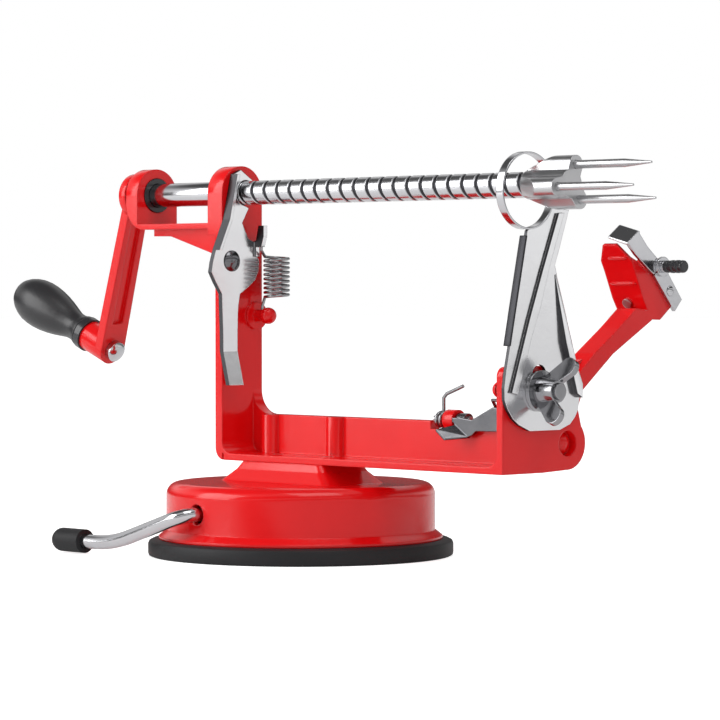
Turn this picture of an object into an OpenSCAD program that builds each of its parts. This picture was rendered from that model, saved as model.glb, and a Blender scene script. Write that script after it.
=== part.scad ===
// Hand cranked apple peeler and corer on a suction base.
// Origin: centre of the base on the table. +X runs along the shaft to the fork,
// +Z is up, and the open side of the frame faces -Y.

/* [Base] */
// Radius of the rubber pad
pad_r = 50; // [48:1:54]
// Thickness of the pad at its rim
pad_t = 5.5; // [5:0.5:6]
// Radius of the metal housing
housing_r = 44; // [43:0.5:45]
// Height of the housing's top above the table
housing_top = 24; // [24:0.5:26]
// Wall of the housing
housing_wall = 2.5; // [2:0.25:3]
// Diameter of the suction lever's rod
rod_d = 4.7; // [4.2:0.1:5]
// Offset of the cam from the rod's axis
cam_throw = 1.5; // [1:0.1:1.5]
// Reach of the suction lever from its axis to the cap's end
suction_reach = 63; // [58:1:72]

/* [Frame] */
// Height of the shaft's axis above the table
shaft_h = 118.8; // [117:0.2:124]
// Height of the beam's underside above the table
beam_h = 30.3; // [30:0.1:31]
// Width of the ears, the left post and the beam
frame_w = 18; // [17.5:0.5:19]
// Place of the left post's inner face from the base's centre
post_x = -28.4; // [-31:0.2:-27]
// Clear length between the two posts
apple_gap = 124.6; // [122:0.2:130]
// Thickness of the left post
post_t = 3.3; // [3:0.1:4]
// Clear length between the two ears that carry the shaft
yoke_gap = 35.9; // [32:0.1:40]
// Thickness of the outboard ear
ear_t = 5.8; // [5.2:0.1:7]
// Thickness of the inboard ear
hub_t = 7.1; // [6:0.1:8]
// Height of the beam's web
web_h = 15; // [14:0.5:16]
// Thickness of the beam's web
web_t = 4; // [3.5:0.5:4.5]
// Thickness of the right post's plate
right_t = 2.5; // [2:0.25:3]

/* [Shaft and crank] */
// Diameter of the feed shaft
shaft_d = 8; // [7:0.1:8]
// Reach of the fork hub's three lobes from the axis
fork_r = 9.1; // [8.4:0.1:9.2]
// Free length of a prong
prong_l = 29.8; // [25:0.1:36]
// Diameter of a prong
prong_d = 2.6; // [2.2:0.1:3]
// Drop from the shaft's axis to the grip's axis
crank_drop = 53.6; // [50:0.2:58]
// Angle by which the crank arm splays outwards
crank_splay = 23.3; // [18:0.1:25]
// Angle of the crank about the shaft at rest
crank_lean = 7; // [0:1:10]
// Largest diameter of the grip
grip_d = 17; // [15:0.2:19]
// Length of the grip
grip_l = 37; // [33:0.5:42]

/* [Feed lever] */
// Width of the lever's body
lever_w = 21; // [20.6:0.1:21.4]
// Length of the lever's thumb tab
lever_tab_l = 11.1; // [8:0.1:13]
// Outer diameter of the lever's spring
spring_d = 8.9; // [8.5:0.1:9]
// Number of curls in the lever's spring
spring_turns = 9; // [7:1:9]

/* [Coring blade] */
// Outer radius of the coring ring
ring_r = 11.9; // [11.8:0.1:12.4]
// Drop of the ring's centre below the shaft's axis
ring_drop = 1.7; // [1:0.1:1.8]
// Height of the clamping stud above the beam's underside
stud_rise = 25.4; // [24.9:0.1:26.3]
// Width of the blade arm at its foot
arm_w = 34.4; // [34:0.2:35.4]

/* [Peeling arm] */
// Distance of the peeling arm's pivot behind the shaft's axis
pivot_y = 20.6; // [20.2:0.1:21]
// Height of the peeling arm's pivot above the beam's underside
pivot_rise = 8.7; // [8.5:0.1:9.1]
// Thickness of the peeling arm's bar
bar_t = 8; // [7.5:0.5:9]
// Width of the peeling head across the blade
head_w = 13; // [12:0.5:13.5]

/* [Hidden] */
$fn = 48;
hull_fn = 32;

// Clearances, the overlap inside a node, and the overrun of cuts
running_gap = 0.05;
seat_gap = 0.02;
slide_gap = 0.2;
body_gap = 0.3;
lap = 0.4;
overrun = 1;

// Places along the shaft
shaft_r = shaft_d / 2;
ear_r = frame_w / 2;
hub_x = post_x - hub_t;
ear_in = hub_x - yoke_gap;
ear_out = ear_in - ear_t;
right_x = post_x + apple_gap;
right_face = right_x + right_t;
post_left = post_x - post_t;

// Heights that follow the beam's
stud_h = beam_h + stud_rise;
pivot_h = beam_h + pivot_rise;

// Frame
shelf_drop = 9.9;
shelf_t = 1.9;
shelf_top = shaft_h - shelf_drop;
shelf_low = shelf_top - shelf_t;
shelf_corner_r = 9;
cove_t = 2.2;
cove_start = 4.2;
gusset_w = 10;
gusset_drop = 10;
gusset_run = 35;
flange_t = 2.2;
corner_r = 4;
fillet_r = 8;
rib_r = 3.3;
rib_start = 9;
rib_pitch = 30.9;
web_y = ear_r - web_t;
web_top = beam_h + web_h;
stud_to_top = 7.6;
right_top = stud_h + stud_to_top;
right_back = 24;
right_turn = 40;
post_round_r = 3;
arch_r = 9;
boss_l = 6.5;
pivot_boss_r = 8.2;
recess_r = 4;
recess_t = 3;
stud_y = 6;
stud_r = 2.5;
stud_boss_r = 4.6;
stud_boss_l = 6;
stud_tip_r = 2.7;
stud_tip_l = 12.2;

// Neck between the housing and the beam
neck_x = 0.5;
neck_foot_l = 51.5;
neck_foot_w = 27;
neck_top_l = 38;
neck_top_w = 20;
neck_round_r = 2.5;
neck_waist_share = 0.55;
neck_waist_in_share = 0.72;

// Housing
housing_round_r = 4;
housing_flare = 2.5;
housing_flare_h = 3;
housing_lip_h = 1;
rod_r = rod_d / 2;
rod_x = -2;
rod_h = 15;
rod_clear = 0.9;
rod_hole_r = rod_r + rod_clear;
rod_hole_l = 20;
lug_t = 3;
lug_y = 8.7;
lug_w = 10;
lug_foot = 10.8;
screw_pitch = 24;
screw_mid = 1;
screw_r = 2;
screw_head_r = 3.8;
screw_head_t = 2.4;

// Pad and its stem
pad_hub_r = 15;
pad_hub_top = 7.6;
disc_r = 12;
disc_t = 2;
disc_floor = 4.6;
stem_r = 6.8;
stem_top = 18;
journal_r = 2;
journal_half = 7.2;
cam_gap = 0.45;
cam_web_t = 1.2;
cam_web_r = 3.9;
clip_r = 4.2;
clip_t = 1;
rod_spare = 1.6;
rod_end_y = lug_y + lug_t + clip_t + rod_spare;

// Suction lever outside the housing
elbow_r = 5;
elbow_out = 6;
elbow_y = -housing_r - elbow_out;
lever_slope = 17.5;
cap_r = 3.9;
cap_l = 15;
cap_bite = 4;
cap_clear = 0.4;
cap_h = cap_r + cap_clear;
cap_x = rod_x - suction_reach;
slope_l = (rod_h - cap_h) / sin(lever_slope);
bend_x = rod_x - slope_l * cos(lever_slope);

// Bush and crank
bush_r = 5.8;
bush_flange_r = 7.5;
bush_flange_t = 1.5;
bush_proud = 0.4;
crank_gap = 0.8;
crank_face = ear_out - bush_flange_t - crank_gap;
crank_hub_r = 7.6;
crank_hub_l = 3.2;
crank_back = crank_face - crank_hub_l;
crank_t = 3.6;
crank_top_w = 8.9;
crank_end_r = 5.4;
crank_l = crank_drop / cos(crank_splay);
groove_w = 4.6;
groove_t = 1.2;
groove_start_share = 0.17;
groove_end_share = 0.83;
grip_boss_l = 8.6;
crank_screw_r = 2.2;
crank_screw_l = 12;
crank_screw_head_r = 4.2;
crank_screw_head_t = 1.5;
axle_r = 2.2;
axle_reach_share = 0.8;
axle_nut_r = 3.6;
axle_nut_t = 2.2;
axle_nut_dome = 1.3;
collar_r = 6;
collar_t = 2.8;
grip_start = -crank_t - grip_boss_l - collar_t;
grip_face = grip_start - slide_gap;
axle_end = grip_face - grip_l * axle_reach_share;
// Grip outline: share of its length, share of its greatest radius
grip_shares = [[0, 0.68], [0.05, 0.6], [0.14, 0.58], [0.28, 0.72], [0.45, 0.9],
    [0.62, 1], [0.76, 0.97], [0.88, 0.8], [0.96, 0.5], [1, 0.14]];

// Fork
fork_gap = 2.9;
fork_x = right_face + fork_gap;
fork_cone_l = 10.6;
fork_disc_t = 6.5;
fork_l = fork_cone_l + fork_disc_t;
fork_face = fork_x + fork_l;
fork_wall = 0.5;
lobe_r = 2.9;
prong_ring_r = fork_r - lobe_r;
prong_count = 3;
prong_phase = 70;
prong_point_share = 0.36;
prong_tip_r = 0.35;
prong_seat = 5;
shaft_seat = 3;

// Feed lever
lever_t = 1.8;
lever_x = post_x + slide_gap;
lever_face = lever_x + lever_t;
rivet_in = 2.6;
lever_drop = 22.6;
lever_pivot = [rivet_in - ear_r, shaft_h - lever_drop];
notch_r = shaft_r + body_gap;
rivet_r = 1.9;
rivet_head_r = 3.5;
rivet_head_t = 1.6;
lip_t = 1.2;
lip_out = 1.8;
tab_out = 3;
// Lever outline about its rivet: share of lever_w across, share of lever_drop upwards
lever_shares = [[-0.181, -1.327], [0.119, -1.327], [0.119, -1.013], [0.138, -0.646],
    [0.171, -0.482], [0.324, -0.398], [0.495, -0.279], [0.571, -0.133], [0.586, -0.013],
    [0.552, 0.058], [0.552, 0.257], [0.352, 0.327], [0.219, 0.558], [0.39, 0.827],
    [0.467, 1.097], [0.433, 1.195], [0.195, 1.336], [0.048, 1.274], [-0.114, 0.611],
    [-0.338, 0.159], [-0.4, -0.018], [-0.429, -0.164], [-0.338, -0.31], [-0.21, -0.482],
    [-0.186, -1.013]];
// The edge that carries the lip, in the same shares
lip_shares = [[0.048, 1.274], [-0.114, 0.611], [-0.338, 0.159]];

// Spring of the feed lever, its ear on the lever and its stud on the post
wire_r = 0.5;
wire_end = 1.1;
spring_r = spring_d / 2 - wire_r;
spring_out = 6.9;
spring_x = post_x + spring_out;
spring_y = 9.3;
spring_pitch = 1.5;
spring_phase = 217;
spring_drop = 12;
spring_low = lever_pivot[1] - spring_drop;
spring_high = spring_low + spring_turns * spring_pitch;
curl_steps = 8;
wire_sides = 6;
anchor_y = 6;
anchor_drop = 18.2;
anchor_h = lever_pivot[1] - anchor_drop;
anchor_r = 2;
anchor_l = 6.3;
anchor_ball_r = 2.8;
anchor_seat_r = 4.6;
anchor_seat_t = 1;
anchor_leg_out = 3.4;
anchor_leg_h = anchor_h + anchor_r + seat_gap;
hook_t = 1.6;
hook_y = 4.5;
hook_leg_out = 2.6;
hook_leg_x = lever_face + hook_leg_out;
hook_out = 4.6;
hook_neck = 0.8;
hook_tip = 2.6;
hook_rise = 3.2;
hook_l = 7.1;
hook_foot = 3.4;
hook_low = spring_high + hook_rise;
hook_waist_share = 0.3;

// Blade arm, coring ring, stud and wing nut
arm_t = 1.2;
arm_x = right_face + slide_gap;
arm_face = arm_x + arm_t;
bead_t = 1;
ring_t = 0.6;
ring_l = 2.8;
ring_back = 0.4;
ring_x = arm_x - ring_back;
ring_h = shaft_h - ring_drop;
arm_place = [stud_y, stud_h];
arm_up = ring_h - stud_h;
arm_travel = 5;
slot_clear = 0.6;
slot_r = stud_r + slot_clear;
// Blade arm and bead outlines about the stud: share of arm_w across, share of arm_up upwards
arm_shares = [[-0.157, 0.8], [-0.369, 0.257], [-0.43, 0.109], [-0.456, 0.021],
    [-0.453, -0.041], [-0.41, -0.09], [-0.346, -0.135], [-0.267, -0.166], [-0.122, -0.199],
    [0.276, -0.199], [0.41, -0.173], [0.477, -0.138], [0.517, -0.103], [0.544, -0.028],
    [0.538, 0.023], [0.462, 0.111], [0.381, 0.252], [0.227, 0.59], [0.206, 0.63],
    [0.259, 0.705], [0.392, 0.907], [0.13, 0.92], [-0.05, 0.84]];
bead_shares = [[0.229, 0.891], [0.017, 0.604], [-0.151, 0.365], [-0.387, -0.005],
    [-0.305, -0.016], [-0.14, 0.257], [-0.009, 0.428], [0.11, 0.629], [0.3, 0.893]];
washer_x = arm_face + running_gap;
washer_r = 6.4;
washer_t = 1.3;
nut_x = washer_x + washer_t + running_gap;
nut_foot_r = 4.4;
nut_top_r = 3.4;
nut_l = 6.5;
wing_t = 2;
wing_span = 11;
wing_rise = 8;
wing_root_r = 2.6;
wing_tip_r = 3;
wing_phase = -25;
stud_free = 1;

// Peeling arm
peel_x = right_face - boss_l - body_gap;
peel_hub_l = 5;
peel_hub_r = 8;
peel_hub_x = peel_x - peel_hub_l;
sleeve_r = 4;
sleeve_l = 7.4;
sleeve_x = peel_hub_x - sleeve_l;
pin_r = 2.5;
pin_head_r = 3.7;
pin_head_t = 2.2;
pin_clip_r = 4.2;
pin_clip_t = 1;
pin_clip_x = sleeve_x - slide_gap - pin_clip_t;
bar_in = 1.2;
bar_face = right_x - bar_in;
leg_t = 5.4;
peel_reach = 75;
pivot = [pivot_y, pivot_h];
// Outlines about the pivot, in shares of peel_reach
leg_shares = [[-0.075, 0.055], [0.09, -0.03], [0.19, 0.2], [0.25, 0.36], [0.11, 0.32]];
bar_shares = [[0.13, 0.29], [0.225, 0.37], [0.38, 0.475], [0.49, 0.557], [0.62, 0.54],
    [0.59, 0.505], [0.34, 0.365], [0.14, 0.21]];
head_shares = [[0.424, 0.826], [0.482, 0.715], [0.534, 0.6], [0.59, 0.51], [0.645, 0.507],
    [0.705, 0.553], [0.745, 0.585], [0.653, 0.709], [0.648, 0.741], [0.61, 0.75],
    [0.58, 0.702], [0.468, 0.776], [0.432, 0.834]];
blade_shares = [[0.419, 0.833], [0.487, 0.881], [0.545, 0.819], [0.637, 0.748],
    [0.587, 0.702], [0.562, 0.718], [0.468, 0.786]];
blade_lip_shares = [[0.419, 0.833], [0.487, 0.881]];
guard_shares = [[0.644, 0.751], [0.77, 0.594], [0.724, 0.544], [0.592, 0.696]];
blade_screw_share = [0.637, 0.735];
guard_screw_share = [0.692, 0.631];
// The head's taper seen along Y: share of head_w, share of peel_reach
taper_shares = [[0, 0.4], [0, 0.76], [-0.35, 0.84], [-0.72, 0.84], [-1, 0.76], [-1, 0.4]];
blade_t = 1.2;
blade_x = bar_face + seat_gap;
blade_face = blade_x + blade_t + seat_gap;
blade_lip_l = 7;
blade_lip_rise = 2;
blade_lug_r = 2.4;
head_boss_r = 2.6;
small_screw_r = 1.25;
small_seat = 4;
blade_washer_r = 3.2;
blade_washer_t = 0.8;
blade_head_x = blade_face + blade_washer_t + seat_gap;
blade_head_r = 2;
blade_head_t = 1;
guard_head_r = 1.7;
guard_head_t = 0.8;
knob_x = blade_head_x + blade_head_t + seat_gap;
knob_r = 2.1;
knob_l = 7.8;
knob_fill_share = 0.85;
lock_head_r = 1.7;
lock_head_t = 0.8;
lock_shank_l = 5;
lock_back_share = 0.55;
lock_edge_share = 0.22;

// Spring of the peeling arm
peel_wire_r = 0.6;
peel_spring_r = 5;
peel_spring_turns = 3.5;
peel_spring_pitch = 1.65;
peel_spring_end = peel_x - leg_t - peel_wire_r - body_gap;
peel_spring_start = peel_spring_end - peel_spring_turns * peel_spring_pitch;
peel_hook_h = stud_h - stud_tip_r - peel_wire_r - seat_gap;
peel_hook_l = 4.9;
peel_leg_share = [0.155, 0.17];

// Latch on the beam
latch_y = 6;
latch_rise = 0.5;
latch_h = web_top + latch_rise;
knuckle_r = 3.2;
knuckle_in = 34.7;
knuckle_x = right_x - knuckle_in;
knuckle_l = 4.4;
web_notch_l = 7;
latch_pin_r = 1.2;
latch_pin_spare = 1;
latch_curl_r = 2.2;
latch_curl_l = 4;
latch_t = 1.4;
latch_plate_y = 2.6;
latch_x = knuckle_x + knuckle_l + body_gap;
latch_end_gap = 2;
latch_l = right_x - latch_x - latch_end_gap;
latch_place = [latch_x, latch_h];
// Latch outline from its pin: share of latch_l along X, share of web_h upwards
latch_shares = [[0.02, 0], [0.09, 0.06], [0.3, 0.02], [0.62, 0.3], [0.8, 0.24], [1, 0.24],
    [1, -0.2], [0.66, -0.2], [0.36, -0.21], [0.3, -0.3], [0.2, -0.36], [0.04, -0.14]];
tab_root_shares = [[0.04, -0.12], [0.22, -0.34]];
tab_tip_shares = [[-0.07, -0.21], [0.05, -0.38]];
tab_lean = 5;
latch_wire_r = 0.6;
latch_spring_r = 2.2;
latch_spring_turns = 2;
latch_spring_pitch = 1.7;
latch_spring_end = knuckle_x - body_gap - latch_wire_r;
latch_spring_start = latch_spring_end - latch_spring_turns * latch_spring_pitch;
latch_pin_start = latch_spring_start - latch_wire_r - latch_pin_spare;
latch_pin_end = latch_x + latch_curl_l + latch_pin_spare;
latch_leg_y = latch_y + latch_spring_r;
latch_leg_l = 8;
latch_leg_top = latch_h + latch_leg_l;
latch_arm_l = 8.5;
latch_arm_rise = 2.6;
latch_bend = 1.3;

// An outline drawn in Y and Z, extruded along +X
module along_x(x, l) translate([x, 0, 0]) rotate([90, 0, 90]) linear_extrude(l) children();

// An outline drawn in X and Z, extruded along +Y
module along_y(y, l) translate([0, y + l, 0]) rotate([90, 0, 0]) linear_extrude(l) children();

// A round bar along +X, and one along +Y
module bar_x(x, y, z, l, r) translate([x, y, z]) rotate([0, 90, 0]) cylinder(h = l, r = r);
module bar_y(x, y, z, l, r) translate([x, y, z]) rotate([-90, 0, 0]) cylinder(h = l, r = r);

// A cut along +X that runs past both ends
module bore_x(x, y, z, l, r) bar_x(x - overrun, y, z, l + 2 * overrun, r);

// A shallow dome standing on x, with its crown towards +X
module dome_x(x, y, z, r, t) let (crown_r = (r * r + t * t) / (2 * t))
    translate([x, y, z]) rotate([0, 90, 0]) intersection() {
        translate([0, 0, t - crown_r]) sphere(r = crown_r);
        cylinder(h = t, r = r);
    }

// A centred rectangle with rounded corners
module round_rect(l, w, r) {
    square([l - 2 * r, w], center = true);
    square([l, w - 2 * r], center = true);
    for (x = [-1, 1], y = [-1, 1]) translate([x * (l / 2 - r), y * (w / 2 - r)]) circle(r);
}

// Points at shares of two sizes, from a place
function at_shares(shares, place, w, h) =
    [for (s = shares) [place[0] + s[0] * w, place[1] + s[1] * h]];

// A wire swept along a path, its rings carried along without twist
function unit(v) = v / norm(v);
function heading(path, i) = unit(path[min(i + 1, len(path) - 1)] - path[max(i - 1, 0)]);
function carry(side, along) = unit(side - (side * along) * along);
function ring_sides(path, first) = [for (i = 0, n = carry(first, heading(path, 0)); i < len(path);
    i = i + 1, n = carry(n, heading(path, min(i, len(path) - 1)))) n];

module wire(path, r, first) {
    n = ring_sides(path, first);
    rings = [for (i = [0:len(path) - 1]) let (t = heading(path, i), b = cross(t, n[i]))
        for (k = [0:wire_sides - 1]) let (a = 360 * k / wire_sides)
            path[i] + r * (cos(a) * n[i] + sin(a) * b)];
    last = (len(path) - 1) * wire_sides;
    walls = [for (i = [0:len(path) - 2], k = [0:wire_sides - 1])
        let (a = i * wire_sides + k, b = i * wire_sides + (k + 1) % wire_sides)
            each [[a, a + wire_sides, b], [b, a + wire_sides, b + wire_sides]]];
    foot = [for (k = [1:wire_sides - 2]) [0, k, k + 1]];
    top = [for (k = [1:wire_sides - 2]) [last, last + k + 1, last + k]];
    polyhedron(points = rings, faces = concat(walls, foot, top), convexity = 10);
}

// Curls that rise along Z, and curls that run along X in the sense given
function coil_z(x, y, z, r, turns, pitch, phase) = [for (i = [0:turns * curl_steps])
    let (a = phase + 360 * i / curl_steps)
        [x + r * cos(a), y + r * sin(a), z + pitch * i / curl_steps]];
function coil_x(x, y, z, r, turns, pitch, phase, sense) = [for (i = [0:turns * curl_steps])
    let (a = phase + sense * 360 * i / curl_steps)
        [x + pitch * i / curl_steps, y + r * cos(a), z + r * sin(a)]];

// Least gap between stretches of a wire that are at least half a curl apart
function least_gap(path, r) = min([for (i = [0:len(path) - 1],
    j = [i + curl_steps / 2:1:len(path) - 1]) norm(path[i] - path[j])]) - 2 * r;

// The waste outside a rounded corner at the origin, and the fillet inside one
module corner_cut(r) difference() {
    translate([-overrun, -overrun]) square(r + overrun);
    translate([r, r]) circle(r);
}

module corner_fill(r) difference() {
    square(r);
    translate([r, r]) circle(r);
}

// Frame

module ear_outline(foot) {
    translate([0, shaft_h]) circle(ear_r);
    translate([-ear_r, foot]) square([frame_w, shaft_h - foot]);
}

// Two ears, the shelf between them and the gusset down to the left post
module yoke() difference() {
    union() {
        along_x(ear_out, ear_t) ear_outline(shelf_low);
        along_x(hub_x, hub_t) ear_outline(shelf_low - cove_t);
        translate([ear_out, -ear_r, shelf_low])
            cube([hub_x - ear_out + lap, frame_w, shelf_t]);
        translate([ear_in + cove_start, -gusset_w / 2, shelf_low - cove_t])
            cube([hub_x - ear_in - cove_start + lap, gusset_w, cove_t + lap]);
        along_y(-gusset_w / 2, gusset_w) polygon([[post_left + lap, shelf_low + lap],
            [post_left - gusset_run, shelf_low + lap],
            [post_left - gusset_run, shelf_low],
            [post_left + lap, shelf_low - gusset_drop]]);
    }
    along_y(-ear_r - overrun, frame_w + 2 * overrun)
        translate([ear_out, shelf_low]) corner_cut(shelf_corner_r);
}

// The left post and the beam's flange, bent round a corner
module post_and_flange() along_y(-ear_r, frame_w) {
    difference() {
        translate([post_left, beam_h]) square([post_t, shelf_top - beam_h]);
        translate([post_left, beam_h]) corner_cut(corner_r);
    }
    translate([post_left + corner_r, beam_h])
        square([right_x + lap - post_left - corner_r, flange_t]);
    translate([post_x, beam_h + flange_t]) corner_fill(corner_r);
    translate([right_x, beam_h + flange_t]) mirror([1, 0]) corner_fill(corner_r);
}

module web() {
    foot = beam_h + flange_t - lap;
    difference() {
        along_y(web_y, web_t) {
            translate([post_x - lap, foot]) square([apple_gap + 2 * lap, web_top - foot]);
            translate([post_x, web_top]) corner_fill(fillet_r);
            translate([right_x, web_top]) mirror([1, 0]) corner_fill(fillet_r);
        }
        // Room for the latch's spring and curl
        for (x = [knuckle_x - web_notch_l, knuckle_x + knuckle_l])
            translate([x, web_y - overrun, latch_h - latch_spring_r - latch_wire_r - body_gap])
                cube([web_notch_l, web_t + 2 * overrun, web_h]);
    }
    for (x = [post_x + rib_start, post_x + rib_start + rib_pitch])
        translate([x, web_y, foot]) cylinder(h = web_top - foot, r = rib_r);
}

module right_post() {
    along_x(right_x, right_t) {
        translate(pivot) circle(pivot_boss_r);
        polygon([[-ear_r, beam_h], [ear_r, beam_h], [pivot_y, pivot_h - pivot_boss_r],
            pivot + pivot_boss_r * [cos(right_turn), sin(right_turn)],
            [right_back, right_top - arch_r], [-ear_r, right_top - arch_r]]);
        translate([-ear_r, beam_h]) square([post_round_r, right_top - post_round_r - beam_h]);
        translate([post_round_r - ear_r, right_top - post_round_r]) circle(post_round_r);
        translate([post_round_r - ear_r, right_top - 2 * arch_r])
            square([right_back + ear_r - post_round_r - arch_r, 2 * arch_r]);
        translate([right_back - arch_r, right_top - arch_r]) circle(arch_r);
    }
    bar_x(right_face - boss_l, pivot_y, pivot_h, boss_l, pivot_boss_r);
    bar_x(right_x - stud_boss_l, stud_y, stud_h, stud_boss_l + lap, stud_boss_r);
    bar_x(right_x - stud_tip_l, stud_y, stud_h, stud_tip_l, stud_tip_r);
    translate([right_x - stud_tip_l, stud_y, stud_h]) sphere(r = stud_tip_r + seat_gap);
}

module spring_anchor() {
    bar_x(post_x - lap, anchor_y, anchor_h, anchor_l + lap, anchor_r);
    bar_x(post_x - lap, anchor_y, anchor_h, anchor_seat_t + lap, anchor_seat_r);
    translate([post_x + anchor_l, anchor_y, anchor_h]) sphere(r = anchor_ball_r);
}

module frame() color("crimson") difference() {
    union() {
        yoke();
        post_and_flange();
        web();
        right_post();
        spring_anchor();
        bar_x(knuckle_x, latch_y, latch_h, knuckle_l, knuckle_r);
    }
    bore_x(ear_out, 0, shaft_h, ear_t, bush_r + running_gap);
    bore_x(hub_x, 0, shaft_h, hub_t, shaft_r + running_gap);
    bore_x(post_left, lever_pivot[0], lever_pivot[1], post_t, rivet_r + seat_gap);
    bar_x(right_x - stud_boss_l + lap, stud_y, stud_h, stud_boss_l + right_t, stud_r + seat_gap);
    bore_x(right_face - boss_l, pivot_y, pivot_h, boss_l, pin_r + seat_gap);
    bar_x(right_face - recess_t, pivot_y, pivot_h, recess_t + overrun, recess_r);
    bore_x(knuckle_x, latch_y, latch_h, knuckle_l, latch_pin_r + seat_gap);
    at_base_screws() translate([0, 0, beam_h - overrun])
        cylinder(h = flange_t + 2 * overrun, r = screw_r + seat_gap);
}

// Base

module at_base_screws() for (side = [-1, 1])
    translate([screw_mid + side * screw_pitch / 2, 0, 0]) children();

module housing_shell() {
    flat_r = housing_r - housing_round_r;
    bend_h = housing_top - housing_round_r;
    rotate_extrude() difference() {
        union() {
            translate([0, pad_t]) square([housing_r, bend_h - pad_t]);
            translate([0, pad_t]) square([flat_r, housing_top - pad_t]);
            translate([flat_r, bend_h]) circle(housing_round_r);
            polygon([[flat_r, pad_t], [housing_r + housing_flare, pad_t],
                [housing_r + housing_flare, pad_t + housing_lip_h],
                [housing_r, pad_t + housing_flare_h]]);
        }
        translate([-overrun, pad_t - overrun])
            square([housing_r - housing_wall + overrun,
                housing_top - housing_wall - pad_t + overrun]);
        translate([-housing_r, 0]) square([housing_r, housing_top + overrun]);
    }
}

module neck_layer(z, l, w) translate([neck_x, 0, z]) linear_extrude(lap)
    round_rect(l, w, neck_round_r);

module neck() {
    waist_z = housing_top + (beam_h - housing_top) * neck_waist_share;
    waist_l = neck_foot_l + (neck_top_l - neck_foot_l) * neck_waist_in_share;
    waist_w = neck_foot_w + (neck_top_w - neck_foot_w) * neck_waist_in_share;
    hull() {
        neck_layer(housing_top - lap, neck_foot_l, neck_foot_w);
        neck_layer(waist_z, waist_l, waist_w);
    }
    hull() {
        neck_layer(waist_z, waist_l, waist_w);
        neck_layer(beam_h - lap, neck_top_l, neck_top_w);
    }
}

module base_housing() color("crimson") difference() {
    union() {
        housing_shell();
        neck();
        for (y = [lug_y, -lug_y - lug_t]) translate([rod_x - lug_w / 2, y, lug_foot])
            cube([lug_w, lug_t, housing_top - housing_wall + lap - lug_foot]);
    }
    bar_y(rod_x, -lug_y - lug_t - overrun, rod_h, 2 * (lug_y + lug_t + overrun),
        rod_r + running_gap);
    bar_y(rod_x, -housing_r - overrun, rod_h, rod_hole_l, rod_hole_r);
    at_base_screws() translate([0, 0, housing_top - housing_wall - overrun])
        cylinder(h = beam_h - housing_top + housing_wall + 2 * overrun, r = screw_r + seat_gap);
}

module base_screws() color("silver") at_base_screws() {
    under = housing_top - housing_wall;
    translate([0, 0, under - screw_head_t]) cylinder(h = screw_head_t, r = screw_head_r);
    translate([0, 0, under - lap]) cylinder(h = beam_h + flange_t - under + lap, r = screw_r);
}

module suction_pad() color("dimgray") difference() {
    union() {
        cylinder(h = pad_t, r = pad_r);
        cylinder(h = pad_hub_top, r = pad_hub_r);
    }
    translate([0, 0, disc_floor]) cylinder(h = disc_t, r = disc_r + seat_gap);
    translate([0, 0, disc_floor]) cylinder(h = pad_hub_top, r = stem_r + seat_gap);
}

// The stem's slot leaves the cam free to move sideways as it lifts the stem
module pad_stem() color("silver") difference() {
    slot_l = 2 * journal_r + cam_throw + 2 * cam_gap;
    slot_h = 2 * (journal_r + cam_gap);
    translate([0, 0, disc_floor]) {
        cylinder(h = disc_t, r = disc_r);
        cylinder(h = stem_top - disc_floor, r = stem_r);
    }
    translate([rod_x - journal_r - cam_throw - cam_gap, -stem_r - overrun,
        rod_h - cam_throw - slot_h / 2])
        cube([slot_l, 2 * (stem_r + overrun), slot_h]);
}

// The rod crosses the housing, with its cam in the stem's slot. Outside, it turns
// through an elbow and runs down beside the housing to its cap.
module suction_lever() color("silver") {
    bar_y(rod_x, elbow_y + elbow_r, rod_h, -journal_half - elbow_y - elbow_r, rod_r);
    bar_y(rod_x, journal_half, rod_h, rod_end_y - journal_half, rod_r);
    bar_y(rod_x, -journal_half - lap, rod_h - cam_throw, 2 * (journal_half + lap), journal_r);
    for (y = [-journal_half - cam_web_t, journal_half])
        bar_y(rod_x, y, rod_h, cam_web_t, cam_web_r);
    translate([rod_x, elbow_y + elbow_r, rod_h]) rotate([0, -lever_slope, 0])
        translate([-elbow_r, 0, 0]) {
            rotate([0, 0, -90]) rotate_extrude(angle = 90) translate([elbow_r, 0]) circle(rod_r);
            translate([0, -elbow_r, 0]) rotate([0, -90, 0]) cylinder(h = slope_l - elbow_r, r = rod_r);
        }
    translate([bend_x, elbow_y, cap_h]) sphere(r = rod_r + seat_gap);
    bar_x(cap_x + cap_l - cap_bite, elbow_y, cap_h, bend_x - cap_x - cap_l + cap_bite, rod_r);
}

module lever_cap() color("dimgray") difference() {
    translate([cap_x, elbow_y, cap_h]) rotate([0, 90, 0]) rotate_extrude() intersection() {
        translate([0, cap_r]) {
            circle(cap_r);
            square([cap_r, cap_l - cap_r]);
        }
        square([cap_r, cap_l]);
    }
    bar_x(cap_x + cap_l - cap_bite, elbow_y, cap_h, cap_bite + overrun, rod_r + seat_gap);
}

module cam_clip() color("silver") difference() {
    bar_y(rod_x, lug_y + lug_t + slide_gap, rod_h, clip_t, clip_r);
    bar_y(rod_x, lug_y + lug_t - overrun, rod_h, clip_t + 2 * overrun, rod_r + seat_gap);
}

// Shaft and fork

module shaft_bush() color("black") difference() {
    union() {
        bar_x(ear_out - bush_flange_t, 0, shaft_h, bush_flange_t, bush_flange_r);
        bar_x(ear_out - lap, 0, shaft_h, ear_t + lap + bush_proud, bush_r);
    }
    bore_x(ear_out - bush_flange_t, 0, shaft_h, ear_t + bush_flange_t + bush_proud,
        shaft_r + running_gap);
}

module feed_shaft() color("silver") difference() {
    bar_x(crank_back, 0, shaft_h, fork_x + fork_cone_l + shaft_seat - crank_back, shaft_r);
    bar_x(crank_back - overrun, 0, shaft_h, crank_screw_l + overrun, crank_screw_r + seat_gap);
}

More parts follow.
